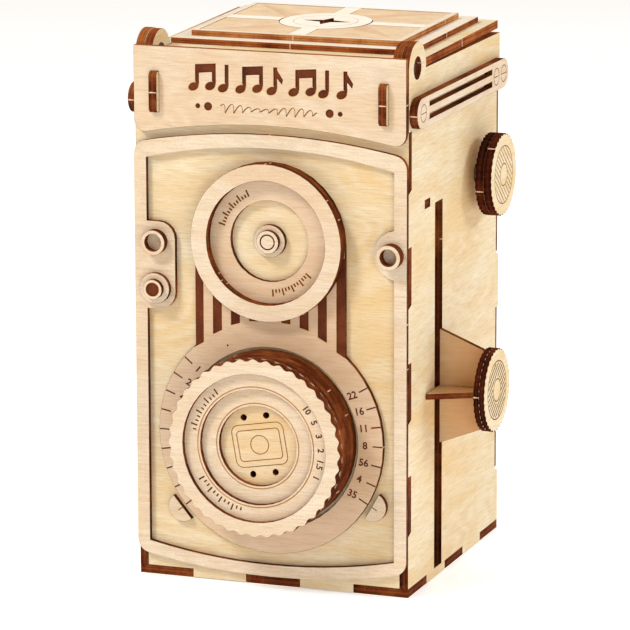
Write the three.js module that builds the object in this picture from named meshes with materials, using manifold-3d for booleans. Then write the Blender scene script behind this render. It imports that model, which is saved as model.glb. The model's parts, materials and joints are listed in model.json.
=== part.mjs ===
// Plywood music box kit in the shape of a twin-lens box.
// Frame: millimetres, X to the right, front towards -Y, Z up, origin at the centre of the body's underside.
import * as THREE from "three";
import { mergeVertices } from "three/addons/utils/BufferGeometryUtils.js";
import Module from "manifold-3d";

const wasm = await Module();
wasm.setup();

// ---- driving dimensions -------------------------------------------------------------------------------
const PLY = 3;                 // structural sheet
const TRIM = 2;                // thin decorative sheet
const HALF = 50;               // half of the square footprint
const FIT = 0.05;              // glue gap of the joints
const RUN = 0.3;               // running gap of turning pieces
const PANEL_TOP = 183.4;       // top edge of the carcass panels
const LID_Z = 183.5;           // underside of the lid
const HINGE_Y = -41;           // lid hinge axis
const HINGE_Z = 184.5;
const EAR_R = 9;
const EAR_HOLE_R = 4;
const PIN_R = 3.88;            // hinge pins, running in the ears
const AXLE_R = 4;              // focus axle, running in the front panel
const SHAFT_R = 2.5;           // winding shaft, running in the bed plate
const CYL_PIVOT_R = 1.2;       // music cylinder pivots
const FINGERS = [[23, 43], [63, 83], [103.5, 123.5], [143.5, 163.5]];   // tabs of front and back, in Z
const FINGER_SLANT = 1.2;      // slant of the lower end of each finger notch
const FEET = [[-30, -10], [10, 30]];                                    // panel tabs through the base plate
const SHELF_Z = 134.2;
const SHELF_TABS = [[-33, -27.3], [27.3, 33]];
const SLOT_Y = [-21.9, -13.7]; // lift slot in the right panel
const SLOT_Z = [3.2, 134.4];
const LENS_Z = 53.5;           // focus lens axis
const VIEW_Z = 123.2;          // upper lens axis
const FOCUS_R = 31.2;
const GRIP_R = 31.7;
const GRIP_TEETH = 40;
const GRIP_DEPTH = 1;
const WIND_Y = 24.5;           // winding axis
const WIND_Z = 136.7;
const WIND_X = 54;             // rear face of the winding knob
const KNOB_R = 14.7;
const KNOB_TEETH = 36;
const KNOB_DEPTH = 0.6;
const ARM_Y = -17.1;           // front face of the upright lift arm
const ARM_Z = 68.2;            // axis of the lift knob
const ARM_START = 50.2;        // the outer lift arms begin just outside the right panel
const ARM_END = 67;            // outer end of the lift arms

// ---- materials ----------------------------------------------------------------------------------------
const birch = new THREE.MeshStandardMaterial({ color: 0xe6cfa2, roughness: 0.7, metalness: 0 });
const trimPly = new THREE.MeshStandardMaterial({ color: 0xead2b2, roughness: 0.7, metalness: 0 });
const dowel = new THREE.MeshStandardMaterial({ color: 0xb98550, roughness: 0.75, metalness: 0 });
const brass = new THREE.MeshStandardMaterial({ color: 0xc2a15a, roughness: 0.35, metalness: 1 });
const steel = new THREE.MeshStandardMaterial({ color: 0xb9bcc0, roughness: 0.35, metalness: 1 });

const model = new THREE.Group();
model.name = "wooden_music_box";

// ---- outline helpers: lists of [a, b] points, anticlockwise ------------------------------------------
function arc(ca, cb, r, from, to, steps) {
  const points = [];
  for (let i = 0; i <= steps; i += 1) {
    const t = THREE.MathUtils.degToRad(from + (to - from) * i / steps);
    points.push([ca + r * Math.cos(t), cb + r * Math.sin(t)]);
  }
  return points;
}

function circle(ca, cb, r, steps) {
  return arc(ca, cb, r, 0, 360 * (steps - 1) / steps, steps - 1);
}

function box(a0, b0, a1, b1) {
  return [[a0, b0], [a1, b0], [a1, b1], [a0, b1]];
}

function mirrored(points) {
  return points.map(([a, b]) => [-a, b]).reverse();
}

function stadium(a0, b0, a1, b1, steps) {
  const r = (b1 - b0) / 2;
  const mid = (b0 + b1) / 2;
  return [...arc(a1 - r, mid, r, -90, 90, steps), ...arc(a0 + r, mid, r, 90, 270, steps)];
}

// A bow from (-half, ends) over (0, middle) to (half, ends), walked towards +a.
function bow(half, ends, middle, steps) {
  const points = [];
  const rise = middle - ends;
  const r = (half * half + rise * rise) / (2 * Math.abs(rise));
  const centre = rise > 0 ? middle - r : middle + r;
  for (let i = 0; i <= steps; i += 1) {
    const a = -half + 2 * half * i / steps;
    const h = Math.sqrt(r * r - a * a);
    points.push([a, rise > 0 ? centre + h : centre - h]);
  }
  return points;
}

// Replaces the corners with the given numbers by arcs of the given radii.
function rounded(points, radii) {
  const result = [];
  points.forEach(([a, b], i) => {
    const r = radii[i];
    if (!r) {
      result.push([a, b]);
      return;
    }
    const here = new THREE.Vector2(a, b);
    const last = points[(i + points.length - 1) % points.length];
    const before = new THREE.Vector2(...last).sub(here).normalize();
    const after = new THREE.Vector2(...points[(i + 1) % points.length]).sub(here).normalize();
    const halfAngle = Math.acos(before.dot(after)) / 2;
    const middle = before.clone().add(after).normalize().multiplyScalar(r / Math.sin(halfAngle)).add(here);
    const start = before.clone().multiplyScalar(r / Math.tan(halfAngle)).add(here).sub(middle);
    const sweep = Math.PI - 2 * halfAngle;
    for (let k = 0; k <= 5; k += 1) {
      const p = start.clone().rotateAround(new THREE.Vector2(0, 0), sweep * k / 5).add(middle);
      result.push([p.x, p.y]);
    }
  });
  return result;
}

// A rectangle whose sides carry tabs (positive depth) or notches (negative depth).
// Each entry is [from, to, depth, slant]: the slant moves the outer corner at "from" outwards.
function jointed(a0, b0, a1, b1, sides) {
  const points = [];
  const walk = (list, place, forwards) => {
    const run = [];
    for (const [from, to, depth, slant = 0] of list || []) {
      run.push(place(from - slant, 0));
      run.push(place(from, depth));
      run.push(place(to, depth));
      run.push(place(to, 0));
    }
    points.push(...(forwards ? run : run.reverse()));
  };
  points.push([a0, b0]);
  walk(sides.bottom, (t, d) => [t, b0 - d], true);
  points.push([a1, b0]);
  walk(sides.right, (t, d) => [a1 + d, t], true);
  points.push([a1, b1]);
  walk(sides.top, (t, d) => [t, b1 + d], false);
  points.push([a0, b1]);
  walk(sides.left, (t, d) => [a0 - d, t], false);
  return points;
}

// One scallop as [share of the pitch, share of the depth].
const WAVE = [[0, 0], [0.2, 0.35], [0.4, 0.9], [0.6, 0.9], [0.8, 0.35]];

// Scalloped rim. The phase turns it by a share of its pitch.
function scalloped(ca, cb, r, depth, teeth, phase) {
  const points = [];
  for (let i = 0; i < teeth; i += 1) {
    for (const [share, fall] of WAVE) {
      const t = 2 * Math.PI * (i + share + phase) / teeth;
      const here = r - depth * fall;
      points.push([ca + here * Math.cos(t), cb + here * Math.sin(t)]);
    }
  }
  return points;
}

// ---- solids -------------------------------------------------------------------------------------------
function solid(geometry) {
  const bare = new THREE.BufferGeometry();
  bare.setAttribute("position", geometry.getAttribute("position").clone());
  if (geometry.index) {
    bare.setIndex(geometry.index.clone());
  }
  const joined = mergeVertices(bare, 1e-5);
  const mesh = new wasm.Mesh({
    numProp: 3,
    vertProperties: new Float32Array(joined.getAttribute("position").array),
    triVerts: new Uint32Array(joined.index.array),
  });
  return new wasm.Manifold(mesh);
}

function geometryOf(body) {
  const mesh = body.getMesh();
  const geometry = new THREE.BufferGeometry();
  geometry.setAttribute("position", new THREE.BufferAttribute(new Float32Array(mesh.vertProperties), 3));
  geometry.setIndex(new THREE.BufferAttribute(new Uint32Array(mesh.triVerts), 1));
  geometry.computeVertexNormals();
  return geometry;
}

function fused(first, ...others) {
  let body = solid(first);
  for (const other of others) {
    body = body.add(solid(other));
  }
  return geometryOf(body);
}

// ---- sheet helpers ------------------------------------------------------------------------------------
function extruded(outline, depth) {
  const shape = new THREE.Shape(outline.map(([a, b]) => new THREE.Vector2(a, b)));
  return new THREE.ExtrudeGeometry(shape, { depth, bevelEnabled: false, steps: 1 });
}

function sheet(outline, holes, thickness) {
  const board = extruded(outline, thickness);
  if (holes.length === 0) {
    return board;
  }
  let body = solid(board);
  for (const hole of holes) {
    body = body.subtract(solid(extruded(hole, thickness + 2).translate(0, 0, -1)));
  }
  return geometryOf(body);
}

// Outline in X and Z, standing in front of the plane Y = back.
function frontSheet(outline, holes, back, thickness) {
  const basis = new THREE.Matrix4().makeBasis(
    new THREE.Vector3(1, 0, 0), new THREE.Vector3(0, 0, 1), new THREE.Vector3(0, -1, 0));
  return sheet(outline, holes, thickness).applyMatrix4(basis).translate(0, back, 0);
}

// Outline in Y and Z, from the plane X = left towards +X.
function sideSheet(outline, holes, left, thickness) {
  const basis = new THREE.Matrix4().makeBasis(
    new THREE.Vector3(0, 1, 0), new THREE.Vector3(0, 0, 1), new THREE.Vector3(1, 0, 0));
  return sheet(outline, holes, thickness).applyMatrix4(basis).translate(left, 0, 0);
}

// Outline in X and Y, from the plane Z = bottom upwards.
function flatSheet(outline, holes, bottom, thickness) {
  return sheet(outline, holes, thickness).translate(0, 0, bottom);
}

// Turned piece: profile of [radius, height] points, axis along "axis" through the given point.
function turned(profile, steps, axis, x, y, z) {
  const geometry = new THREE.LatheGeometry(profile.map(([r, h]) => new THREE.Vector2(r, h)), steps);
  if (axis === "x") {
    geometry.rotateZ(-Math.PI / 2);
  }
  if (axis === "z") {
    geometry.rotateX(Math.PI / 2);
  }
  return geometry.translate(x, y, z);
}

function add(name, geometry, material) {
  const mesh = new THREE.Mesh(geometry, material);
  mesh.name = name;
  model.add(mesh);
}

// ---- carcass ------------------------------------------------------------------------------------------
const footNotches = FEET.map(([from, to]) => [from - FIT, to + FIT, -PLY - FIT]);
const footTabs = FEET.map(([from, to]) => [from, to, PLY + FIT]);
const fingerTabs = FINGERS.map(([from, to]) => [from, to, PLY + FIT]);
const fingerNotches = FINGERS.map(([from, to]) => [from - FIT, to + FIT, -PLY - FIT, FINGER_SLANT]);
const core = HALF - PLY - FIT;

add("base_plate", flatSheet(jointed(-HALF, -HALF, HALF, HALF, {
  bottom: footNotches, right: footNotches, top: footNotches, left: footNotches,
}), [], 0, PLY), birch);

const FRONT_NOTCH_X = 40.35;
const FRONT_NOTCH_Z = 165.9;
add("front_panel", frontSheet(jointed(-core, PLY + FIT, core, FRONT_NOTCH_Z, {
  bottom: footTabs,
  right: fingerTabs,
  left: fingerTabs,
  top: [[-FRONT_NOTCH_X, FRONT_NOTCH_X, PANEL_TOP - FRONT_NOTCH_Z]],
}), [circle(0, LENS_Z, AXLE_R + 0.14, 20)], -HALF + PLY, PLY), birch);

const backTabs = FINGERS.map(([from, to]) => [from, to, PLY + FIT - 0.5]);
add("back_panel", frontSheet(jointed(-core, PLY + FIT, core, PANEL_TOP, {
  bottom: footTabs, right: backTabs, left: backTabs,
}), [box(-10 - FIT, SHELF_Z - FIT, 10 + FIT, SHELF_Z + PLY + FIT)], HALF, PLY), birch);

// Side panel outline with the hinge ear standing up at the front.
function sidePanelOutline() {
  const outline = jointed(-HALF, PLY + FIT, HALF, PANEL_TOP, {
    bottom: footTabs, right: fingerNotches, left: fingerNotches,
  });
  const corner = outline.findIndex(([a, b]) => a === -HALF && b === PANEL_TOP);
  const from = THREE.MathUtils.radToDeg(Math.asin((PANEL_TOP - HINGE_Z) / EAR_R));
  const ear = arc(HINGE_Y, HINGE_Z, EAR_R, from, 180, 28);
  outline.splice(corner, 1, ...ear);
  return outline;
}

const shelfMortises = SHELF_TABS.map(([from, to]) => (
  box(from - FIT, SHELF_Z - FIT, to + FIT, SHELF_Z + PLY + FIT)
));
const earHole = circle(HINGE_Y, HINGE_Z, EAR_HOLE_R, 24);
add("left_panel", sideSheet(sidePanelOutline(), [earHole, ...shelfMortises], -HALF, PLY), birch);
add("right_panel", sideSheet(sidePanelOutline(), [
  earHole,
  shelfMortises[0],
  box(SLOT_Y[0], SLOT_Z[0], SLOT_Y[1], SLOT_Z[1]),
  circle(WIND_Y, WIND_Z, 3.6, 20),
], HALF - PLY, PLY), birch);

const shelfTab = HALF - 0.4;
add("mid_shelf", flatSheet([
  [-core, -core],
  [core, -core],
  [core, SHELF_TABS[0][0]],
  [shelfTab, SHELF_TABS[0][0]],
  [shelfTab, SHELF_TABS[0][1]],
  [core, SHELF_TABS[0][1]],
  [core, 8],
  [27, 8],
  [27, core],
  [10, core],
  [10, shelfTab],
  [-10, shelfTab],
  [-10, core],
  [-core, core],
  [-core, SHELF_TABS[1][1]],
  [-shelfTab, SHELF_TABS[1][1]],
  [-shelfTab, SHELF_TABS[1][0]],
  [-core, SHELF_TABS[1][0]],
  [-core, SHELF_TABS[0][1]],
  [-shelfTab, SHELF_TABS[0][1]],
  [-shelfTab, SHELF_TABS[0][0]],
  [-core, SHELF_TABS[0][0]],
], [], SHELF_Z, PLY), birch);

// ---- front trim ---------------------------------------------------------------------------------------
// Closed outline between a lower and an upper bow, with rounded corners.
function bowedPlate(half, lowEnds, lowMid, highEnds, highMid, lowRound, highRound) {
  const low = bow(half, lowEnds, lowMid, 14);
  const flatTop = [[half, highEnds], [-half, highEnds]];
  const high = highEnds === highMid ? flatTop : bow(half, highEnds, highMid, 14).reverse();
  const last = low.length - 1;
  return rounded([...low, ...high], {
    0: lowRound, [last]: lowRound, [last + 1]: highRound, [low.length + high.length - 1]: highRound,
  });
}

function frameOpening() {
  const points = [];
  points.push(...bow(45.5, 12.7, 7.7, 14));
  points.push(...arc(47, 121.2, 8.8, 260.1, 99.9, 10));
  points.push(...bow(45.5, 150, 155.6, 14).reverse());
  points.push([-45.5, 127.5]);
  points.push(...arc(-41, 121.5, 6, 90, 0, 5));
  points.push(...arc(-41, 102.5, 6, 0, -90, 5));
  points.push([-45.5, 96.5]);
  return points;
}

const frameOutline = bowedPlate(HALF, 9, 3.5, 155, 160.2, 5, 5);
add("front_frame", frontSheet(frameOutline, [frameOpening()], -HALF, TRIM), trimPly);

const TAB_X = [40.4, 43.4];
const TAB_Z = [166, 180.2];
const tabSlot = box(TAB_X[0] - FIT, TAB_Z[0] - FIT, TAB_X[1] + FIT, TAB_Z[1] + FIT);
add("nameplate", frontSheet(bowedPlate(49.75, 158, 163.4, 189, 189, 4, 0),
  [tabSlot, mirrored(tabSlot)], -HALF, TRIM), trimPly);

const bracket = [
  [-54.2, 167], [-53.4, 166], [-46.6, 166], [-46.6, 164.6], [-39, 164.6], [-39, 177], [-46.6, 177],
  [-46.6, 180.2], [-53.4, 180.2], [-54.2, 179.2],
];
add("nameplate_tab_left", sideSheet(bracket, [], -TAB_X[1], PLY), birch);
add("nameplate_tab_right", sideSheet(bracket, [], TAB_X[0], PLY), birch);

// Scale plate: big disc with a neck that runs up behind the upper lens.
const SCALE_R = 41.5;
const NECK = 27.6;
const neckAngle = THREE.MathUtils.radToDeg(Math.acos(NECK / SCALE_R));
add("scale_plate", frontSheet([
  ...arc(0, LENS_Z, SCALE_R, 180 - neckAngle, 360 + neckAngle, 40),
  ...arc(0, VIEW_Z, NECK, 0, 180, 16),
], [circle(0, LENS_Z, 32.3, 52), circle(0, VIEW_Z, 14.25, 32)], -HALF, TRIM), trimPly);

function stud(angle) {
  const t = THREE.MathUtils.degToRad(angle);
  const ca = 43.1 * Math.cos(t);
  const cb = LENS_Z + 43.1 * Math.sin(t);
  return arc(ca, cb, 5.3, angle - 90, angle + 90, 12);
}
add("stud_right", frontSheet(stud(-30), [], -HALF, TRIM), trimPly);
add("stud_left", frontSheet(stud(220), [], -HALF, TRIM), trimPly);

const FACE = -HALF - TRIM;
const viewRing = circle(0, VIEW_Z, 27.6, 52);
const viewOpening = circle(0, VIEW_Z, 21.8, 44);
add("view_lens_ring_rear", frontSheet(viewRing, [viewOpening], FACE, TRIM), trimPly);
add("view_lens_ring_front", frontSheet(viewRing, [viewOpening], FACE - TRIM, TRIM), trimPly);
add("view_lens_hub_base", frontSheet(circle(0, VIEW_Z, 5.75, 28), [], -HALF, TRIM), trimPly);
add("view_lens_hub_cap", frontSheet(circle(0, VIEW_Z, 4.05, 24), [], FACE, TRIM), trimPly);

const leftSocket = [-42.1, 120.4];
const leftOpening = circle(...leftSocket, 3.1, 24);
add("left_socket_ring", frontSheet(circle(...leftSocket, 4.4, 28), [leftOpening], FACE, PLY), trimPly);
add("button_base", frontSheet(circle(-42, 104, 5.5, 28), [], FACE, TRIM), trimPly);
add("button_cap", frontSheet(circle(-42, 104, 3.5, 24), [], FACE - TRIM, TRIM), trimPly);
const socketOuter = circle(44.6, 121.1, 4.4, 28);
const socketInner = circle(44.6, 121.1, 3, 24);
add("right_socket_ring_rear", frontSheet(socketOuter, [socketInner], FACE, TRIM), trimPly);
add("right_socket_ring_front", frontSheet(socketOuter, [socketInner], FACE - TRIM, TRIM), trimPly);

// ---- side bars ----------------------------------------------------------------------------------------
const barOutline = stadium(-49.8, 164.2, 51, 174.8, 10);
const barSlots = [box(-37, 170.9, 32.4, 172.8), box(-37, 166.5, 32.4, 168.4)];
add("side_bar_left", sideSheet(barOutline, barSlots, -HALF - PLY, PLY), trimPly);
add("side_bar_right", sideSheet(barOutline, barSlots, HALF, PLY), trimPly);

// ---- lid ----------------------------------------------------------------------------------------------
const LID_LIFT = 0.93;         // degrees by which the lid stands open at rest

// Swings a piece of the lid about the hinge from its flat place to the rest position.
function onLid(geometry) {
  return geometry.translate(0, -HINGE_Y, -HINGE_Z)
    .rotateX(THREE.MathUtils.degToRad(LID_LIFT))
    .translate(0, HINGE_Y, HINGE_Z);
}

const LUG_X = [43.9, 46.7];
const LUG_R = EAR_R - 0.2;
const lidBottom = jointed(-49.7, -31.3, 49.7, 48.6, { bottom: [[-43.6, 43.6, 14.7]] });
add("lid_plate_bottom", onLid(flatSheet(lidBottom, [], LID_Z, PLY)), birch);
add("lid_plate_middle", onLid(flatSheet(box(-44.4, -30.5, 44.4, 42.2), [], LID_Z + PLY, TRIM)), trimPly);

const STAR_Y = 6.5;
const STAR_REACH = [9.2, 7];   // half lengths of the star's arms, across the lid and front to back
const STAR_WAIST = 2.7;
const star = [];
for (let i = 0; i < 8; i += 1) {
  const [across, along] = i % 2 === 0 ? STAR_REACH : [STAR_WAIST, STAR_WAIST];
  const t = Math.PI / 2 + Math.PI * i / 4;
  star.push([across * Math.cos(t), STAR_Y + along * Math.sin(t)]);
}
const topPlate = flatSheet(box(-38.9, -24.9, 38.9, 36.8), [star], LID_Z + PLY + TRIM, TRIM);
add("lid_plate_top", onLid(topPlate), trimPly);

const lugTop = LID_Z;
const lugLow = 177.5;
const lugFrom = THREE.MathUtils.radToDeg(Math.asin((lugTop - HINGE_Z) / LUG_R));
const lugTo = 360 + THREE.MathUtils.radToDeg(Math.asin((lugLow - HINGE_Z) / LUG_R));
const lug = [
  ...arc(HINGE_Y, HINGE_Z, LUG_R, lugFrom, lugTo, 32),
  [-21, lugLow],
  [-21, lugTop],
];
const lugHole = circle(HINGE_Y, HINGE_Z, PIN_R + FIT, 24);
add("lid_lug_left", onLid(sideSheet(lug, [lugHole], -LUG_X[1], LUG_X[1] - LUG_X[0])), birch);
add("lid_lug_right", onLid(sideSheet(lug, [lugHole], LUG_X[0], LUG_X[1] - LUG_X[0])), birch);
const pin = circle(HINGE_Y, HINGE_Z, PIN_R, 24);
add("hinge_pin_left", sideSheet(pin, [], -48.4, 4.5), dowel);
add("hinge_pin_right", sideSheet(pin, [], 43.9, 4.5), dowel);

// ---- winding knob and shaft ---------------------------------------------------------------------------
const windRim = scalloped(WIND_Y, WIND_Z, KNOB_R, KNOB_DEPTH, KNOB_TEETH, 0);
add("winding_knob_rear", sideSheet(windRim, [circle(WIND_Y, WIND_Z, 2.55, 16)], WIND_X, PLY), birch);
add("winding_knob_front", sideSheet(windRim, [], WIND_X + PLY, PLY), birch);
add("winding_shaft", sideSheet(circle(WIND_Y, WIND_Z, SHAFT_R, 16), [], 32, WIND_X + PLY - FIT - 32), steel);

// ---- musical movement ---------------------------------------------------------------------------------
const BED_X = 44.2;            // inner face of the bed plate
const CYL_X = 34;
const CYL_Y = 26;
const bedHole = circle(WIND_Y, WIND_Z, SHAFT_R + 0.12, 20);
const bed = sideSheet(box(9, 124, 46.4, 178), [bedHole], BED_X, HALF - PLY - BED_X);
const bearingHole = circle(CYL_X, CYL_Y, CYL_PIVOT_R + 0.1, 12);
const bearing = box(CYL_X - 4, CYL_Y - 4, BED_X + 1, CYL_Y + 4);
add("movement_bed_plate", fused(
  bed,
  flatSheet(bearing, [bearingHole], 150, 2),
  flatSheet(bearing, [bearingHole], 175, 2),
), brass);
const shaftHole = circle(WIND_Y, WIND_Z, SHAFT_R + 0.14, 16);
add("spring_barrel", sideSheet(circle(WIND_Y, WIND_Z, 11, 36), [shaftHole], 31, BED_X - 31), steel);
add("music_cylinder", turned([
  [0, 0], [CYL_PIVOT_R, 0], [CYL_PIVOT_R, 2.6], [7.2, 2.6], [7.2, 4.4],
  [6.2, 4.4], [6.2, 22.6], [CYL_PIVOT_R, 22.6], [CYL_PIVOT_R, 26], [0, 26],
], 24, "z", CYL_X, CYL_Y, 150.5), brass);
add("comb_base", frontSheet(box(35.6, 155, BED_X, 173), [], 45, 7), brass);

const combOutline = [[45, 155], [45, 173]];
for (let i = 17; i >= 0; i -= 1) {
  const low = 155 + i;
  const tip = 33.1;
  if (i < 17) {
    combOutline.push([39.5, low + 0.85]);
  }
  combOutline.push([tip, i < 17 ? low + 0.85 : low + 1]);
  combOutline.push([tip, low + 0.15]);
  if (i > 0) {
    combOutline.push([39.5, low + 0.15]);
  }
}
combOutline[combOutline.length - 1][1] = 155;
add("music_comb", sideSheet(combOutline, [], 34.2, 1.4), steel);
for (const [name, z] of [["comb_screw_lower", 159], ["comb_screw_upper", 169]]) {
  add(name, sideSheet(circle(42, z, 1.7, 16), [], 32.9, 1.3), steel);
}

const GOV_X = 36;
const GOV_Y = 14;
const GOV_PIVOT_R = 0.8;
const govHole = circle(GOV_X, GOV_Y, GOV_PIVOT_R + 0.12, 10);
const govPlate = box(33, GOV_Y - 3.5, 42.9, GOV_Y + 3.5);
add("governor_bracket", fused(
  frontSheet(box(42.4, 156, 44.2, 172), [], GOV_Y + 3.5, 7),
  flatSheet(govPlate, [govHole], 156, 1.5),
  flatSheet(govPlate, [govHole], 170.5, 1.5),
), brass);
add("governor", fused(
  turned([
    [0, 0], [GOV_PIVOT_R, 0], [GOV_PIVOT_R, 3], [1.6, 3],
    [1.6, 8], [GOV_PIVOT_R, 8], [GOV_PIVOT_R, 15], [0, 15],
  ], 12, "z", GOV_X, GOV_Y, 156.5),
  frontSheet(box(32.8, 166, 39.2, 169.6), [], GOV_Y + 0.35, 0.7),
), steel);

// ---- lift ---------------------------------------------------------------------------------------------
const ARM_LOW = 47.8;
const ARM_HIGH = 88.8;
const PLATE_Z = 66.6;          // underside of the cross arm and of the platform
const NECK_Z = [63.4, 67.6];   // neck of the upright arm through the slot
const SLIT_Z = [52, 85];       // slit of the shoe
const SHOE_X = 43.7;
const SHOE_END = SHOE_X + PLY;
const LAP = 58.6;              // where the two outer arms meet in their half-lap
const LAP_IN = 31;
const armOutline = [
  [18, 60],
  [SHOE_X, SLIT_Z[0]],
  [SHOE_END, SLIT_Z[0]],
  [SHOE_END, NECK_Z[0]],
  [ARM_START, NECK_Z[0]],
  [ARM_START, ARM_LOW],
  [ARM_END, 54.4],
  [ARM_END, PLATE_Z - FIT],
  [LAP, PLATE_Z - FIT],
  [LAP, PLATE_Z + TRIM + FIT],
  [ARM_END, PLATE_Z + TRIM + FIT],
  [ARM_END, 82],
  [ARM_START, ARM_HIGH],
  [ARM_START, NECK_Z[1]],
  [SHOE_END, NECK_Z[1]],
  [SHOE_END, SLIT_Z[1]],
  [SHOE_X, SLIT_Z[1]],
  [18, 77],
  [18, PLATE_Z + PLY + FIT],
  [LAP_IN, PLATE_Z + PLY + FIT],
  [LAP_IN, PLATE_Z - FIT],
  [18, PLATE_Z - FIT],
];
const ARM_BACK = ARM_Y + TRIM;
add("lift_arm_upright", frontSheet(armOutline, [], ARM_BACK, TRIM), birch);
const slitY = [ARM_Y - FIT, ARM_BACK + FIT];
add("lift_arm_cross", flatSheet([
  [ARM_START, -32],
  [ARM_END, -23],
  [ARM_END, -8],
  [ARM_START, 0.8],
  [ARM_START, slitY[1]],
  [LAP + FIT, slitY[1]],
  [LAP + FIT, slitY[0]],
  [ARM_START, slitY[0]],
], [], PLATE_Z, TRIM), birch);
add("lift_shoe", sideSheet(box(-27, ARM_LOW, -8, ARM_HIGH),
  [box(slitY[0], SLIT_Z[0] - FIT, slitY[1], SLIT_Z[1] + FIT)], SHOE_X, PLY), birch);
add("lift_platform", flatSheet([
  [-44, -38],
  [SHOE_X - FIT, -38],
  [SHOE_X - FIT, slitY[0]],
  [LAP_IN - FIT, slitY[0]],
  [LAP_IN - FIT, slitY[1]],
  [SHOE_X - FIT, slitY[1]],
  [SHOE_X - FIT, 4],
  [-44, 4],
], [], PLATE_Z, PLY), birch);
const liftY = ARM_Y + TRIM / 2;
const liftRim = (phase) => scalloped(liftY, ARM_Z, KNOB_R, KNOB_DEPTH, KNOB_TEETH, phase);
add("lift_knob_rear", sideSheet(liftRim(0), [], ARM_END, TRIM), birch);
add("lift_knob_front", sideSheet(liftRim(0.5), [], ARM_END + TRIM, TRIM), birch);

// ---- focus lens ---------------------------------------------------------------------------------------
const FOCUS_BACK = -HALF - RUN;
const focusRim = circle(0, LENS_Z, FOCUS_R, 52);
const barrelHole = circle(0, LENS_Z, 26, 28);
add("focus_disc_rear", frontSheet(focusRim, [circle(0, LENS_Z, 4.05, 20)], FOCUS_BACK, PLY), birch);
add("focus_barrel_rear", frontSheet(focusRim, [barrelHole], FOCUS_BACK - PLY, PLY), birch);
add("focus_barrel_front", frontSheet(focusRim, [barrelHole], FOCUS_BACK - 2 * PLY, PLY), birch);

const TURN = 9.7;              // degrees by which the lens stands turned
const cosTurn = Math.cos(THREE.MathUtils.degToRad(TURN));
const sinTurn = Math.sin(THREE.MathUtils.degToRad(TURN));
const lensHoles = [];
for (const [a, b] of [[-4.2, 10.1], [4.2, 10.1], [-4.2, -10.1], [4.2, -10.1]]) {
  lensHoles.push(circle(a * cosTurn - b * sinTurn, LENS_Z + a * sinTurn + b * cosTurn, 1.1, 12));
}
add("focus_disc_front", frontSheet(focusRim, lensHoles, FOCUS_BACK - 3 * PLY, PLY), birch);
const grip = scalloped(0, LENS_Z, GRIP_R, GRIP_DEPTH, GRIP_TEETH, 0);
const steps = [
  ["focus_ring_inner", focusRim, 14.3, 36],
  ["focus_ring_middle", grip, 20.5, 40],
  ["focus_ring_outer", grip, 26.3, 44],
];
steps.forEach(([name, rim, inner, sides], i) => {
  const opening = circle(0, LENS_Z, inner, sides);
  add(name, frontSheet(rim, [opening], FOCUS_BACK - 4 * PLY - i * TRIM, TRIM), trimPly);
});
add("focus_axle", frontSheet(circle(0, LENS_Z, AXLE_R, 20), [], -43.7, 9.6), dowel);
const washer = frontSheet(circle(0, LENS_Z, 10, 24), [circle(0, LENS_Z, AXLE_R + FIT, 20)], -43.7, PLY);
add("focus_retainer", washer, birch);

export default model;
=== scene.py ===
import json
import math

import bmesh
import bpy
from mathutils import Matrix, Vector


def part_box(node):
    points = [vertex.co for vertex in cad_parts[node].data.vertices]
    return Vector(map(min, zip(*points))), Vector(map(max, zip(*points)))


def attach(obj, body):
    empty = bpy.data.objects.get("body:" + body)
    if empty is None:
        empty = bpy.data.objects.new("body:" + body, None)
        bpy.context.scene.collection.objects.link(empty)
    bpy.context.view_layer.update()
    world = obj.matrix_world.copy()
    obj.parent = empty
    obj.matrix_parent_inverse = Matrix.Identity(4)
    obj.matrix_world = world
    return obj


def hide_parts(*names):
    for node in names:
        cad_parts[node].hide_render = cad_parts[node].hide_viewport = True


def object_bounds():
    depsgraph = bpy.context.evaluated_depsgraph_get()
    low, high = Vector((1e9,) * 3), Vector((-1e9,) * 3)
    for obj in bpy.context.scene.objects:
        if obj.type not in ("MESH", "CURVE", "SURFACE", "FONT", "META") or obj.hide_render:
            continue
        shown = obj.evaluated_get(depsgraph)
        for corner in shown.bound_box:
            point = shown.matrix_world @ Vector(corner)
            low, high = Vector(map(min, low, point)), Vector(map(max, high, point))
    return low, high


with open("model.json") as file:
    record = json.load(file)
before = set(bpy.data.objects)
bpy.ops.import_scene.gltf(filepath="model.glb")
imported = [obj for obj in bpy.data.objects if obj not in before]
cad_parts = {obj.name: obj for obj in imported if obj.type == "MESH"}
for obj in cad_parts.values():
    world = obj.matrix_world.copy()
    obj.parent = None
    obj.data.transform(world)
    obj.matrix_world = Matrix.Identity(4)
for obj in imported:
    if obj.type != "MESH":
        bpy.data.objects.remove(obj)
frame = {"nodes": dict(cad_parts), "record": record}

# A laser-cut plywood box camera with a musical movement. Every sheet keeps the CAD shape. This script gives
# it pale veneer, charred edges, real engraved recesses and the small uncut bridges that a laser leaves.
MM = 0.001
nodes = frame["nodes"]
record = frame["record"]
slot_of = {part["node"]: part["material_slot"] for part in record["subparts"]}
body_of = {name: body for body, names in record["behaviour"]["bodies"].items() for name in names}
cad_low, cad_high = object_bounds()


# ---- camera -------------------------------------------------------------------------------------------
AZIMUTH = 20.173
ELEVATION = 12.468
ROLL = -0.158
DISTANCE = 1.615594
LENS = 256.1
AIM_RIGHT = -0.002499
AIM_UP = 0.084356


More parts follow.
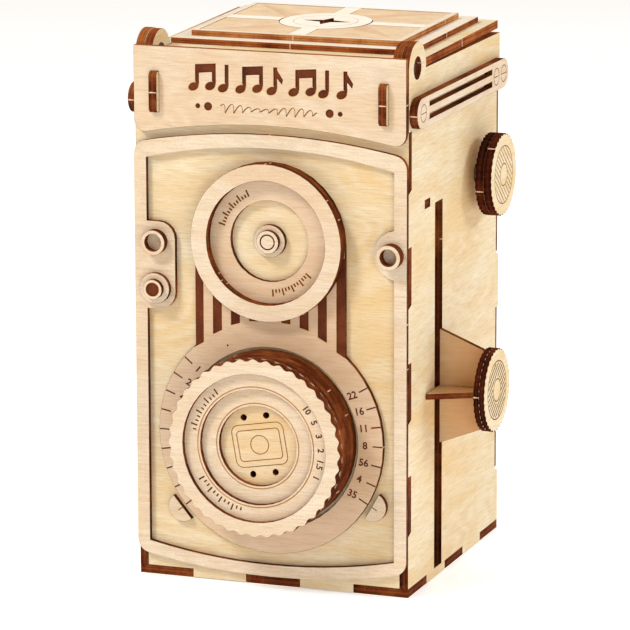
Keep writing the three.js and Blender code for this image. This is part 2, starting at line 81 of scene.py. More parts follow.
def make_camera():
    az, el, roll = (math.radians(angle) for angle in (AZIMUTH, ELEVATION, ROLL))
    back = Vector((math.sin(az) * math.cos(el), -math.cos(az) * math.cos(el), math.sin(el)))
    level = Vector((math.cos(az), math.sin(az), 0))
    upright = back.cross(level)
    right = math.cos(roll) * level + math.sin(roll) * upright
    up = -math.sin(roll) * level + math.cos(roll) * upright
    data = bpy.data.cameras.new("camera")
    data.sensor_width = 36
    data.lens = LENS
    data.clip_start = 0.1
    data.clip_end = 20
    camera = bpy.data.objects.new("camera", data)
    place = back * DISTANCE + right * AIM_RIGHT + up * AIM_UP
    camera.matrix_world = Matrix.Translation(place) @ Matrix((right, up, back)).transposed().to_4x4()
    bpy.context.scene.collection.objects.link(camera)
    bpy.context.scene.camera = camera


# ---- shader helpers -----------------------------------------------------------------------------------
class Shader:
    """A material's node tree, with one short call for each kind of node."""

    def __init__(self, name, colour):
        self.material = bpy.data.materials.new(name)
        self.material.diffuse_color = (*colour, 1)
        self.material.use_nodes = True
        self.tree = self.material.node_tree
        self.tree.nodes.clear()
        self.principled = self.node("BsdfPrincipled")
        output = self.node("OutputMaterial")
        self.tree.links.new(self.principled.outputs["BSDF"], output.inputs["Surface"])
        self.coordinate = self.node("TexCoord")

    def node(self, kind, settings=None, inputs=None):
        made = self.tree.nodes.new("ShaderNode" + kind)
        for key, value in (settings or {}).items():
            setattr(made, key, value)
        for key, value in (inputs or {}).items():
            self.put(made.inputs[key], value)
        return made

    def put(self, socket, value):
        if isinstance(value, bpy.types.NodeSocket):
            self.tree.links.new(value, socket)
        else:
            socket.default_value = value

    def sum(self, operation, *values):
        return self.node("Math", {"operation": operation}, dict(enumerate(values))).outputs[0]

    def mix(self, factor, first, second):
        settings = {"data_type": "RGBA", "clamp_factor": True}
        made = self.node("Mix", settings, {0: factor, 6: rgba(first), 7: rgba(second)})
        return made.outputs[2]

    def span(self, value, low, high, to_low=0.0, to_high=1.0):
        inputs = {"Value": value, "From Min": low, "From Max": high, "To Min": to_low, "To Max": to_high}
        return self.node("MapRange", {"clamp": True}, inputs).outputs[0]

    def part_of(self, kind, axis):
        """The x, y or z part of a kind of texture coordinate."""
        split = self.node("SeparateXYZ", None, {0: self.coordinate.outputs[kind]})
        return split.outputs["xyz".index(axis)]

    def off_middle(self, value):
        """How far a value between 0 and 1 is from one half."""
        return self.sum("ABSOLUTE", self.sum("SUBTRACT", value, 0.5))

    def stretched(self, scale):
        inputs = {"Vector": self.coordinate.outputs["Object"], "Scale": scale}
        return self.node("Mapping", None, inputs).outputs[0]

    def noise(self, scale, detail, roughness, distortion, seed):
        settings = {"noise_dimensions": "4D"}
        inputs = {"Vector": self.stretched(scale), "Scale": 1.0, "Detail": detail,
                  "Roughness": roughness, "Distortion": distortion, "W": seed}
        return self.node("TexNoise", settings, inputs).outputs["Fac"]

    def finish(self, colour, roughness, height, depth, **fixed):
        """Join up the surface. height is a relief that is depth metres deep."""
        self.put(self.principled.inputs["Base Color"], colour)
        self.put(self.principled.inputs["Roughness"], roughness)
        inputs = {"Strength": 1.0, "Distance": depth, "Height": height}
        bump = self.node("Bump", None, inputs)
        self.put(self.principled.inputs["Normal"], bump.outputs["Normal"])
        for key, value in fixed.items():
            self.principled.inputs[key.replace("_", " ")].default_value = value
        return self.material


def rgba(colour):
    if isinstance(colour, bpy.types.NodeSocket):
        return colour
    return (*colour, 1)


def along(axis, scale_along, scale_across, scale_through):
    """Texture scale of a sheet: along its grain, across its grain, and through its thickness."""
    return {
        "x": (scale_through, scale_along, scale_across),
        "y": (scale_along, scale_through, scale_across),
        "z": (scale_along, scale_across, scale_through),
    }[axis]


# ---- wood ---------------------------------------------------------------------------------------------
# Face tones, from the palest streaks to the pores and the late wood.
BIRCH = {"light": (0.93, 0.85, 0.66), "pale": (0.86, 0.74, 0.51), "warm": (0.80, 0.56, 0.26),
         "dark": (0.52, 0.31, 0.13)}
TRIM = {"light": (0.89, 0.79, 0.64), "pale": (0.84, 0.71, 0.53), "warm": (0.76, 0.56, 0.36),
        "dark": (0.48, 0.31, 0.18)}
PALE_TRIM = {"light": (0.95, 0.90, 0.80), "pale": (0.91, 0.83, 0.69), "warm": (0.86, 0.71, 0.51),
             "dark": (0.60, 0.44, 0.29)}

# Tones of burnt edges. The last entry is painted light: how much more orange the edges that look up are made,
# standing for the light from above on them.
DEEP_CHAR = {"dark": (0.012, 0.002, 0.001), "brown": (0.060, 0.009, 0.003), "orange": (0.21, 0.05, 0.016),
             "upper": 0.0}
CHARRED = {"dark": (0.018, 0.003, 0.0015), "brown": (0.140, 0.026, 0.007), "orange": (0.40, 0.12, 0.028),
           "upper": 0.10}
REDDISH = {"dark": (0.024, 0.004, 0.002), "brown": (0.19, 0.032, 0.008), "orange": (0.44, 0.13, 0.030),
           "upper": 0.10}
GLOWING = {"dark": (0.11, 0.022, 0.006), "brown": (0.42, 0.13, 0.035), "orange": (0.68, 0.32, 0.10),
           "upper": 0.10}
PAINTED_SHADE_BROWN = (0.62, 0.30, 0.12)     # painted shade: the warm brown that stands for shadow and warm bounce light on a face
SINGED = (0.40, 0.15, 0.045)   # the softened corner between a face and a burnt edge

PLY_LAYERS = 3.0
FIGURE_LINES = 9.0             # how closely the growth lines follow each other
LESS_BURNT_ABOVE = (0.174, 0.184)   # heights in metres between which edges turn more orange


def charred_edge(shader, axis, tones, random):
    """Burnt cut: streaks straight through the sheet, ply layers, and patches from black to orange."""
    patches = shader.noise((70, 70, 70), 4, 0.6, 0.3, random)
    streaks = shader.noise(along(axis, 1500, 1500, 180), 4, 0.65, 0.0, random)
    cloudy = shader.span(patches, 0.35, 0.68, 0.0, 0.62)
    amount = shader.sum("ADD", cloudy, shader.sum("MULTIPLY", streaks, 0.42))
    # painted light: edges that look up are turned more orange, standing for the top light on them
    painted_top_light = shader.span(shader.part_of("Normal", "z"), 0.3, 1.0, 0.0, tones["upper"])
    amount = shader.sum("ADD", amount, painted_top_light)
    high_up = shader.span(shader.part_of("Object", "z"), *LESS_BURNT_ABOVE, 0.0, 0.22)
    amount = shader.sum("ADD", amount, high_up)
    colour = shader.mix(shader.span(amount, 0.18, 0.55), tones["dark"], tones["brown"])
    colour = shader.mix(shader.span(amount, 0.52, 0.95), colour, tones["orange"])
    through = shader.part_of("Generated", axis)
    ply = shader.sum("FRACT", shader.sum("MULTIPLY", through, PLY_LAYERS))
    glue = shader.sum("MULTIPLY", shader.span(shader.off_middle(ply), 0.36, 0.47), 0.85)
    rim = shader.span(shader.off_middle(through), 0.41, 0.48, 0.0, 0.8)
    core = shader.span(shader.off_middle(through), 0.20, 0.14)
    colour = shader.mix(shader.sum("MAXIMUM", glue, rim), colour, tones["dark"])
    colour = shader.mix(shader.sum("MULTIPLY", core, 0.16), colour, tones["orange"])
    return colour, streaks


def veneer_face(shader, axis, tones, random, speckle):
    """Sanded veneer: warm patches, bands, pale growth lines, fine fibres, short dark pores and speckle."""
    patches = shader.noise(along(axis, 14, 26, 20), 3, 0.5, 0.8, random)
    bands = shader.noise(along(axis, 22, 190, 190), 4, 0.55, 1.1, random)
    fibres = shader.noise(along(axis, 150, 2300, 2300), 5, 0.7, 0.2, random)
    figure = shader.noise(along(axis, 11, 30, 30), 2, 0.40, 1.2, random)
    lines = shader.off_middle(shader.sum("FRACT", shader.sum("MULTIPLY", figure, FIGURE_LINES)))
    colour = shader.mix(shader.span(patches, 0.38, 0.66, 0.0, 0.85), tones["pale"], tones["warm"])
    colour = shader.mix(shader.span(bands, 0.42, 0.68, 0.0, 0.60), colour, tones["warm"])
    colour = shader.mix(shader.span(lines, 0.15, 0.50, 0.0, 0.30), colour, tones["light"])
    colour = shader.mix(shader.span(fibres, 0.44, 0.74, 0.0, 0.55), colour, tones["dark"])
    pores = shader.noise(along(axis, 420, 3600, 3600), 2, 0.5, 0.0, random)
    colour = shader.mix(shader.span(pores, 0.70, 0.78, 0.0, 0.45), colour, tones["dark"])
    grains = shader.noise((3000, 3000, 3000), 3, 0.6, 0.0, random)
    colour = shader.mix(shader.span(grains, 0.48, 0.75, 0.0, speckle), colour, tones["dark"])
    height = shader.sum("ADD", fibres, shader.sum("MULTIPLY", pores, -0.6))
    return colour, height


def painted_shade_on(shader, face, near, far, least, most):
    """Painted shade and warm bounce light: the face browned more and more from one place along X to another.
    """
    cloud = shader.sum("MULTIPLY", shader.noise((90, 90, 90), 3, 0.5, 0.3, 8.2), 0.5 * (far - near))
    reach = shader.sum("ADD", shader.part_of("Object", "x"), cloud)
    return shader.mix(shader.span(reach, near, far, least, most), face, PAINTED_SHADE_BROWN)


def plywood(name, axis, tones, speckle, char=CHARRED, painted_shade=None):
    """Plywood sheet whose faces look along the axis and whose cut edges are charred. The last argument
    is (near, far, least, most) of the painted shade, standing for shadow and warm bounce light, or nothing."""
    shader = Shader(name, tones["pale"])
    random = shader.sum("MULTIPLY", shader.node("ObjectInfo").outputs["Random"], 90.0)
    edge, streaks = charred_edge(shader, axis, char, random)
    face, fibres = veneer_face(shader, axis, tones, random, speckle)
    # painted shade: the face is made darker and warmer from one place along X to another
    if painted_shade:
        face = painted_shade_on(shader, face, *painted_shade)
    facing = shader.sum("ABSOLUTE", shader.part_of("Normal", axis))
    is_face = shader.span(facing, 0.90, 0.99)
    edge = shader.mix(shader.span(facing, 0.45, 0.65, 0.0, 0.8), edge, SINGED)
    colour = shader.mix(is_face, edge, face)
    edge_relief = shader.sum("MULTIPLY", shader.sum("SUBTRACT", 1.0, is_face), streaks)
    height = shader.sum("ADD", shader.sum("MULTIPLY", is_face, fibres), edge_relief)
    smooth = shader.span(fibres, 0.3, 0.8, 0.52, 0.68)
    roughness = shader.sum("MAXIMUM", smooth, shader.span(facing, 0.96, 0.72, 0.0, 0.9))
    shine = shader.span(is_face, 0.0, 1.0, 0.06, 0.22)
    shader.put(shader.principled.inputs["Specular IOR Level"], shine)
    return shader.finish(colour, roughness, height, 0.00006)


def burnt(name, dark, light, strength=1.0):
    """Floor of an engraved mark, burnt brown with the fine lines of the laser's passes."""
    shader = Shader(name, dark)
    fine = shader.noise((1800, 1800, 1800), 4, 0.7, 0.0, 3.1)
    wide = shader.noise((160, 160, 160), 3, 0.5, 0.4, 5.3)
    amount = shader.sum("MULTIPLY", shader.sum("ADD", fine, wide), 0.5)
    colour = shader.mix(shader.span(amount, 0.36, 0.66), dark, light)
    return shader.finish(colour, 0.8, fine, 0.00005 * strength, Specular_IOR_Level=0.15)


def snapped_wood():
    """Pale torn fibres of a bridge that was snapped, not cut."""
    shader = Shader("snapped_wood", (0.86, 0.60, 0.44))
    torn = shader.noise((1600, 1600, 1600), 4, 0.7, 0.0, 2.2)
    colour = shader.mix(shader.span(torn, 0.4, 0.75), (0.90, 0.66, 0.50), (0.48, 0.22, 0.10))
    return shader.finish(colour, 0.75, torn, 0.00008, Specular_IOR_Level=0.2)


def turned_dowel(name, grain_scale, pale, dark):
    """Turned hardwood rod with grain along its length."""
    shader = Shader(name, pale)
    grain = shader.noise(grain_scale, 5, 0.65, 0.3, 4.4)
    colour = shader.mix(shader.span(grain, 0.35, 0.7), pale, dark)
    return shader.finish(colour, shader.span(grain, 0.3, 0.7, 0.5, 0.7), grain, 0.00005)


def worn_metal(name, pale, dark, roughness):
    """Metal with fine turning marks, small scratches and a slightly uneven polish."""
    shader = Shader(name, pale)
    marks = shader.noise((900, 900, 5000), 4, 0.65, 0.0, 6.1)
    stain = shader.noise((120, 120, 120), 3, 0.5, 0.5, 7.9)
    colour = shader.mix(shader.span(stain, 0.4, 0.75), pale, dark)
    rough = shader.span(marks, 0.3, 0.75, roughness - 0.08, roughness + 0.14)
    return shader.finish(colour, rough, marks, 0.00002, Metallic=1.0)


# painted shade of the lift arms: darker and warmer towards the knob, standing for shadow and warm bounce
# light from it
ARM_PAINTED_SHADE = (0.050, 0.069, 0.28, 0.80)
WOOD = {}                      # by material slot or kind, and by the axis that the faces look along
for axis in "xyz":
    WOOD["birch_ply", axis] = plywood("birch_ply_" + axis, axis, BIRCH, 0.26)
    WOOD["trim_ply", axis] = plywood("trim_ply_" + axis, axis, TRIM, 0.46)
    WOOD["knob", axis] = plywood("birch_ply_knob_" + axis, axis, BIRCH, 0.10, DEEP_CHAR)
    WOOD["arm", axis] = plywood("birch_ply_arm_" + axis, axis, BIRCH, 0.26, CHARRED, ARM_PAINTED_SHADE)
LID_LUG_WOOD = plywood("birch_ply_lid_lug", "x", BIRCH, 0.26, REDDISH)
OWN_WOOD = {                   # sheets with a look of their own
    # painted shade: the scale plate is darkened and warmed, standing for the shadow under the lens rings
    "scale_plate": plywood("trim_ply_scale", "y", TRIM, 0.46, CHARRED, (-0.030, 0.034, 0.18, 0.34)),
    # painted shade: the lens disc is darkened, standing for the shade in its recess among the rings
    "focus_disc_front": plywood("birch_ply_lens", "y", BIRCH, 0.26, CHARRED, (-0.012, 0.012, 0.10, 0.20)),
    "lid_plate_top": plywood("trim_ply_lid_top", "z", PALE_TRIM, 0.30, GLOWING),
    "lid_plate_middle": plywood("trim_ply_lid_middle", "z", PALE_TRIM, 0.30, REDDISH),
    "lid_plate_bottom": plywood("birch_ply_lid_bottom", "z", BIRCH, 0.26, REDDISH),
    "lid_lug_left": LID_LUG_WOOD,
    "lid_lug_right": LID_LUG_WOOD,
}
PIN_WOOD = turned_dowel("smoked_pin", (60, 1400, 1400), (0.10, 0.035, 0.014), (0.035, 0.010, 0.004))
AXLE_WOOD = turned_dowel("turned_axle", (1400, 60, 1400), (0.62, 0.36, 0.17), (0.33, 0.15, 0.06))
METAL = {
    "brass": worn_metal("satin_brass", (0.80, 0.60, 0.27), (0.55, 0.37, 0.14), 0.30),
    "steel": worn_metal("brushed_steel", (0.62, 0.63, 0.65), (0.40, 0.40, 0.42), 0.34),
}
BURNT = burnt("engraved_dark", (0.062, 0.012, 0.005), (0.200, 0.048, 0.013))
DIGIT = burnt("engraved_digit", (0.11, 0.020, 0.006), (0.22, 0.052, 0.014))
SCORCH = burnt("scorched_rim", (0.74, 0.40, 0.15), (0.86, 0.58, 0.30), 0.5)
LINE = burnt("engraved_line", (0.27, 0.105, 0.028), (0.46, 0.22, 0.070))
FINE = burnt("engraved_fine", (0.50, 0.24, 0.07), (0.70, 0.41, 0.17))
TAN = burnt("engraved_tan", (0.70, 0.49, 0.29), (0.86, 0.67, 0.45), 0.6)
RAY = burnt("engraved_ray", (0.64, 0.41, 0.24), (0.80, 0.58, 0.38), 0.6)
BARE = burnt("sanded_field", (0.88, 0.80, 0.66), (0.95, 0.90, 0.79), 0.4)
SNAPPED = snapped_wood()


def thin_axis(node):
    low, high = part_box(node)
    size = high - low
    return "xyz"[min(range(3), key=lambda i: size[i])]


def finish_of(node):
    slot = slot_of[node]
    if node in OWN_WOOD:
        return OWN_WOOD[node]
    if slot in METAL:
        return METAL[slot]
    if slot == "dowel":
        return PIN_WOOD if node.startswith("hinge") else AXLE_WOOD
    if "_knob_" in node:
        slot = "knob"
    if node.startswith("lift_arm"):
        slot = "arm"
    return WOOD[slot, thin_axis(node)]


# ---- sheet edges --------------------------------------------------------------------------------------
EDGE = 0.14 * MM               # softened corner of a sheet
FINE_EDGE = 0.06 * MM          # softened corner of a rod or a metal piece


def soften(piece, width):
    weld = piece.modifiers.new("weld", "WELD")
    weld.merge_threshold = 0.001 * MM
    bevel = piece.modifiers.new("softened_corners", "BEVEL")
    bevel.width = width
    bevel.segments = 1
    bevel.limit_method = "ANGLE"
    bevel.angle_limit = math.radians(35)
    bevel.harden_normals = True


# ---- lid ----------------------------------------------------------------------------------------------
HINGE = Vector((0, -41, 184.5)) * MM
LID_SWING = Matrix.Rotation(math.radians(0.93), 3, "X")
LID_PLATES = {                 # corners of the lid plates before the lid is swung up to its rest position
    "lid_plate_bottom": ((-49.7, -31.3, 183.5), (49.7, 48.6, 186.5)),
    "lid_plate_middle": ((-44.4, -30.5, 186.5), (44.4, 42.2, 188.5)),
    "lid_plate_top": ((-38.9, -24.9, 188.5), (38.9, 36.8, 190.5)),
}


def flat_box(node):
    """Lowest and highest corner of a sheet, in millimetres, with the lid taken as lying flat."""
    if node in LID_PLATES:
        low, high = LID_PLATES[node]
        return Vector(low), Vector(high)
    low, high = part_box(node)
    return low / MM, high / MM


def placed(node, spot):
    """The place in the scene of a spot that is given in millimetres on a sheet."""
    spot = Vector(spot) * MM
    if node in LID_PLATES:
        return HINGE + LID_SWING @ (spot - HINGE)
    return spot


# ---- engraving ----------------------------------------------------------------------------------------
class Plane:
    """The flat face of a sheet that is engraved. Marks are drawn on it in millimetres."""

    def __init__(self, node, towards):
        self.node = node
        self.axis = towards[1]
        self.sign = 1 if towards[0] == "+" else -1
        low, high = flat_box(node)
        self.level = (high if self.sign > 0 else low)["xyz".index(self.axis)]

    def place(self, a, b, depth):
        c = self.level - self.sign * depth
        return placed(self.node, {"x": (c, a, b), "y": (a, c, b), "z": (a, b, c)}[self.axis])


CUT_ABOVE = 0.5                # how far a cutting solid stands above the face
FIGURE_SIZE = 1.42             # font size of a figure that is one unit tall
FIGURE_BOLD = 0.10             # how much its strokes are thickened on each side


class Marks:
    """Closed cutting solids for one engraving pass, all on one plane. grow widens every mark but figures."""

    def __init__(self, plane, depth, grow=0.0):
        self.plane = plane
        self.depth = depth
        self.grow = grow
        self.mesh = bmesh.new()

    def corner(self, point, depth):
        return self.mesh.verts.new(self.plane.place(point[0], point[1], depth))

    def area(self, points):
        """A filled outline."""
        if self.grow:
            points = grown(points, self.grow)
        top = [self.corner(p, -CUT_ABOVE) for p in points]
        floor = [self.corner(p, self.depth) for p in points]
        self.mesh.faces.new(top)
        self.mesh.faces.new(floor[::-1])
        for i in range(len(points)):
            j = (i + 1) % len(points)
            self.mesh.faces.new((top[j], top[i], floor[i], floor[j]))

    def band(self, left, right, closed):
        """The strip between two lines of points."""
        rows = []
        for a, b in zip(left, right):
            corners = ((a, -CUT_ABOVE), (b, -CUT_ABOVE), (b, self.depth), (a, self.depth))
            rows.append([self.corner(point, depth) for point, depth in corners])
        last = len(rows) if closed else len(rows) - 1
        for i in range(last):
            here, there = rows[i], rows[(i + 1) % len(rows)]
            for k in range(4):
                m = (k + 1) % 4
                self.mesh.faces.new((here[k], here[m], there[m], there[k]))
        if not closed:
            self.mesh.faces.new(rows[0][::-1])
            self.mesh.faces.new(rows[-1])

    def line(self, points, width, closed=False):
        """A stroke along the points. width is a number, or one number for each point."""
        widths = width if isinstance(width, list) else [width] * len(points)
        left, right = [], []
        for i, (a, b) in enumerate(points):
            before = points[i - 1] if closed or i else points[0]
            after = points[(i + 1) % len(points)] if closed or i + 1 < len(points) else points[-1]
            run = Vector((after[0] - before[0], after[1] - before[1])).normalized()
            half = widths[i] / 2 + self.grow
            left.append((a - run.y * half, b + run.x * half))
            right.append((a + run.y * half, b - run.x * half))
        self.band(left, right, closed)

    def ring(self, ca, cb, r, width, sides=72):
        self.line(round_points(ca, cb, r, sides), width, True)

    def disc(self, ca, cb, r, sides=32):
        self.area(round_points(ca, cb, r, sides))

    def figure(self, text, size, ca, cb, turn):
        """A dial number, centred on a point and turned anticlockwise by degrees."""
        curve = bpy.data.curves.new("figure", "FONT")
        curve.body = text
        curve.size = size * FIGURE_SIZE
        curve.align_x = "CENTER"
        curve.align_y = "CENTER"
        curve.extrude = (self.depth + CUT_ABOVE) / 2
        curve.offset = FIGURE_BOLD
        curve.resolution_u = 3
        holder = bpy.data.objects.new("figure", curve)
        bpy.context.scene.collection.objects.link(holder)
        bpy.context.view_layer.update()
        mesh = bpy.data.meshes.new_from_object(holder.evaluated_get(bpy.context.evaluated_depsgraph_get()))
        part = bmesh.new()
        part.from_mesh(mesh)
        bmesh.ops.remove_doubles(part, verts=part.verts, dist=1e-5)
        turned = Matrix.Rotation(math.radians(turn), 2)
        middle = (self.depth - CUT_ABOVE) / 2
        moved = {}
        for vertex in part.verts:
            spot = turned @ Vector((vertex.co.x, vertex.co.y))
            place = self.plane.place(ca + spot.x, cb + spot.y, middle + vertex.co.z)
            moved[vertex] = self.mesh.verts.new(place)
        for face in part.faces:
            self.mesh.faces.new([moved[v] for v in face.verts])
        part.free()
        bpy.data.objects.remove(holder)
        bpy.data.curves.remove(curve)
        bpy.data.meshes.remove(mesh)

    def cutter(self):
        bmesh.ops.recalc_face_normals(self.mesh, faces=self.mesh.faces)
        mesh = bpy.data.meshes.new("cutter")
        self.mesh.to_mesh(mesh)
        self.mesh.free()
        return bpy.data.objects.new("cutter", mesh)


def round_points(ca, cb, r, sides):
    turns = [math.tau * i / sides for i in range(sides)]
    return [(ca + r * math.cos(t), cb + r * math.sin(t)) for t in turns]


def arc_points(ca, cb, r, start, end, steps):
    turns = [math.radians(start + (end - start) * i / steps) for i in range(steps + 1)]
    return [(ca + r * math.cos(t), cb + r * math.sin(t)) for t in turns]


def polar(ca, cb, r, angle):
    t = math.radians(angle)
    return (ca + r * math.cos(t), cb + r * math.sin(t))


def grown(points, amount):
    """The outline moved outwards by an amount on every side."""
    area = sum(p[0] * q[1] - q[0] * p[1] for p, q in zip(points, points[1:] + points[:1]))
    side = 1 if area > 0 else -1
    moved = []
    for i, point in enumerate(points):
        here = Vector(point)
        before = (here - Vector(points[i - 1])).normalized()
        after = (Vector(points[(i + 1) % len(points)]) - here).normalized()
        out_before = Vector((before.y, -before.x)) * side
        out_after = Vector((after.y, -after.x)) * side
        out = (out_before + out_after).normalized()
        stretch = 1 / max(0.45, out.dot(out_before))
        moved.append(tuple(here + out * amount * stretch))
    return moved


def engrave(plane, passes):
    """A copy of the sheet with its marks cut in. Each pass is (depth, material, grow, draw)."""
    source = nodes[plane.node]
    mesh = source.data.copy()
    piece = bpy.data.objects.new(plane.node + "_engraved", mesh)
    bpy.context.scene.collection.objects.link(piece)
    mesh.materials.clear()
    mesh.materials.append(finish_of(plane.node))
    soften(piece, EDGE)
    bake_modifiers(piece)
    for number, (depth, material, grow, draw) in enumerate(passes, start=1):
        marks = Marks(plane, depth, grow)
        draw(marks)
        cutter = marks.cutter()
        for _ in range(number):
            cutter.data.materials.append(None)
        cutter.data.materials.append(material)
        piece.data.materials.append(material)
        cutter.data.polygons.foreach_set("material_index", [number] * len(cutter.data.polygons))
        bpy.context.scene.collection.objects.link(cutter)
        cut = piece.modifiers.new("engraving", "BOOLEAN")
        cut.operation = "DIFFERENCE"
        cut.solver = "MANIFOLD"
        cut.object = cutter
        bake_modifiers(piece)
        bpy.data.objects.remove(cutter)
    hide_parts(plane.node)
    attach(piece, body_of[plane.node])
    return piece


def bake_modifiers(piece):
    bpy.context.view_layer.update()
    made = bpy.data.meshes.new_from_object(piece.evaluated_get(bpy.context.evaluated_depsgraph_get()))
    piece.modifiers.clear()
    old = piece.data
    piece.data = made
    bpy.data.meshes.remove(old)


# ---- nameplate: a row of notes, dots and a flourish ----------------------------------------------------
NOTE_TOP = 183.6
NOTE_FOOT = 175.6
NOTES = [("pair", -26.5), ("quarter", -15.6), ("pair", -9.2), ("eighth", 2.2), ("pair", 10.2),
         ("quarter", 21.0), ("eighth", 27.6)]
HEAD = (1.95, 1.4)             # half lengths of a note's head
HEAD_LEAN = 24
STEM = (-0.2, 0.8)             # a stem's two sides
SECOND_STEM = (6.0, 7.0)
DOTS = ((22.2, 1.3), (26.0, 0.7))
DOT_Z = 169
FLOURISH = (-17.6, 35.2)       # where it starts, and its length
FLOURISH_Z = 168.6
FLOURISH_WAVES = 11


def note_head(marks, a, b):
    head = [(HEAD[0] * math.cos(t), HEAD[1] * math.sin(t)) for t in (math.tau * i / 24 for i in range(24))]
    lean = Matrix.Rotation(math.radians(HEAD_LEAN), 2)
    marks.area([(a + (lean @ Vector(p)).x, b + (lean @ Vector(p)).y) for p in head])


def draw_heads(marks):
    for kind, a in NOTES:
        note_head(marks, a - 1.1, NOTE_FOOT)
        if kind == "pair":
            note_head(marks, a + 5.1, NOTE_FOOT + 0.5)


def draw_stems(marks):
    foot = NOTE_FOOT + 0.3
    left, right = STEM
    far_left, far_right = SECOND_STEM
    for kind, a in NOTES:
        outline = [(left, foot), (right, foot)]
        if kind == "quarter":
            outline += [(right, NOTE_TOP), (left, NOTE_TOP)]
        elif kind == "eighth":
            outline += [(right, 180.4), (2.6, 178.4), (2.9, 179.6), (right, 182.8), (right, NOTE_TOP)]
            outline += [(left, NOTE_TOP)]
        else:
            outline += [(right, 180.7), (far_left, 181.2), (far_left, foot + 0.5), (far_right, foot + 0.5)]
            outline += [(far_right, NOTE_TOP + 0.2), (left, NOTE_TOP - 0.4)]
        marks.area([(a + across, up) for across, up in outline])


def draw_dots(marks):
    for side in (-1, 1):
        for away, radius in DOTS:
            marks.disc(side * away, DOT_Z, radius)


def draw_flourish(marks):
    """A wavy stroke that swells and thins like a pen's."""
    steps = FLOURISH_WAVES * 12
    start, length = FLOURISH
    points, widths = [], []
    for i in range(steps + 1):
        t = i / steps
        phase = math.tau * FLOURISH_WAVES * t
        height = 1.05 + 0.55 * math.sin(math.tau * 1.5 * t + 0.7)
        across = start + length * t + 0.55 * math.sin(phase)
        points.append((across, FLOURISH_Z + height * math.sin(phase + 0.6)))
        widths.append(0.2 + 0.26 * (0.5 + 0.5 * math.cos(phase + 0.6)))
    marks.line(points, widths)


def engrave_nameplate():
    plane = Plane("nameplate", "-y")
    engrave(plane, [
        (0.05, SCORCH, 0.22, draw_heads),
        (0.05, SCORCH, 0.22, draw_stems),
        (0.05, SCORCH, 0.18, draw_dots),
        (0.30, BURNT, 0.0, draw_heads),
        (0.30, BURNT, 0.0, draw_stems),
        (0.30, BURNT, 0.0, draw_dots),
        (0.20, LINE, 0.0, draw_flourish),
    ])


# ---- lenses -------------------------------------------------------------------------------------------
LENS_Z = 53.5
VIEW_Z = 123.2
STRIPES = [                    # near side, far side, foot at each side, and top
    (24.5, 29.0, 85.8, 83.2, 119),
    (17.7, 21.0, 90.6, 88.9, 106),
    (11.0, 14.3, 93.6, 92.6, 101),
    (4.3, 7.6, 94.7, 94.5, 98.6),
]
APERTURES = ["22", "16", "11", "8", "56", "4", "35"]
SPEEDS = ["1", "2", "4", "8", "15", "30", "60", "125", "250"]
DISTANCES = ["10", "5", "3", "2", "1.5", "1"]
TICK = (37.7, 41.3)            # a scale tick's inner and outer radius
TICK_WIDTH = 0.5
FIGURE_R = 34.9
VIEW_TICK = (16.9, 19.4)
FOCUS_TICK = (22.4, 24.8)
DISTANCE_R = 23.8
FINDER = ((9.6, 7.5, 2.6), (7.9, 5.4, 1.3))   # half width, half height and corner radius
FINDER_WIDTH = 0.32
DISC_TURN = 9.7


def draw_stripes(marks):
    for near, far, near_foot, far_foot, top in STRIPES:
        for side in (-1, 1):
            outline = [(near, near_foot), (far, far_foot), (far, top), (near, top)]
            marks.area([(side * across, up) for across, up in outline])


def draw_tick(marks, cb, inner, outer, angle, width):
    marks.line([polar(0, cb, inner, angle), polar(0, cb, outer, angle)], width)


def draw_scale(marks):
    for number, text in enumerate(APERTURES):
        angle = 30 - 10 * number
        draw_tick(marks, LENS_Z, *TICK, angle, TICK_WIDTH)
        marks.figure(text, 2.5, *polar(0, LENS_Z, FIGURE_R, angle), angle * 0.65)
    for number, text in enumerate(SPEEDS):
        angle = 140 + 10 * number
        draw_tick(marks, LENS_Z, *TICK, angle, TICK_WIDTH)
        marks.figure(text, 2.4, *polar(0, LENS_Z, FIGURE_R, angle), angle - 180)
    marks.disc(-15.6, 85.3, 0.36, 12)


def draw_graduation(marks, cb, inner, outer, angles):
    """A row of ticks. Every third one is long."""
    for number, angle in enumerate(angles):
        reach = outer if number % 3 == 0 else (inner + outer) / 2
        draw_tick(marks, cb, inner, reach, angle, 0.55)


def draw_view_marks(marks):
    draw_graduation(marks, VIEW_Z, *VIEW_TICK, range(116, 168, 4))
    draw_graduation(marks, VIEW_Z, *VIEW_TICK, range(-86, -34, 4))


def draw_focus_marks(marks):
    draw_graduation(marks, LENS_Z, *FOCUS_TICK, range(128, 171, 4))
    draw_graduation(marks, LENS_Z, *FOCUS_TICK, range(212, 259, 4))
    for number, text in enumerate(DISTANCES):
        angle = 38 - 12 * number
        marks.figure(text, 2.2, *polar(0, LENS_Z, DISTANCE_R, angle), angle - 90)


def rounded_box(half_a, half_b, corner, turn):
    points = []
    for number, (a, b) in enumerate([(1, 1), (-1, 1), (-1, -1), (1, -1)]):
        centre = (a * (half_a - corner), b * (half_b - corner))
        points += arc_points(*centre, corner, 90 * number, 90 * number + 90, 6)
    lean = Matrix.Rotation(math.radians(turn), 2)
    return [(lean @ Vector(p)).to_tuple() for p in points]


def draw_viewfinder(marks):
    for half_a, half_b, corner in FINDER:
        outline = [(a, LENS_Z + b) for a, b in rounded_box(half_a, half_b, corner, DISC_TURN)]
        marks.line(outline, FINDER_WIDTH, True)
    marks.ring(0, LENS_Z, 3.3, FINDER_WIDTH, 48)


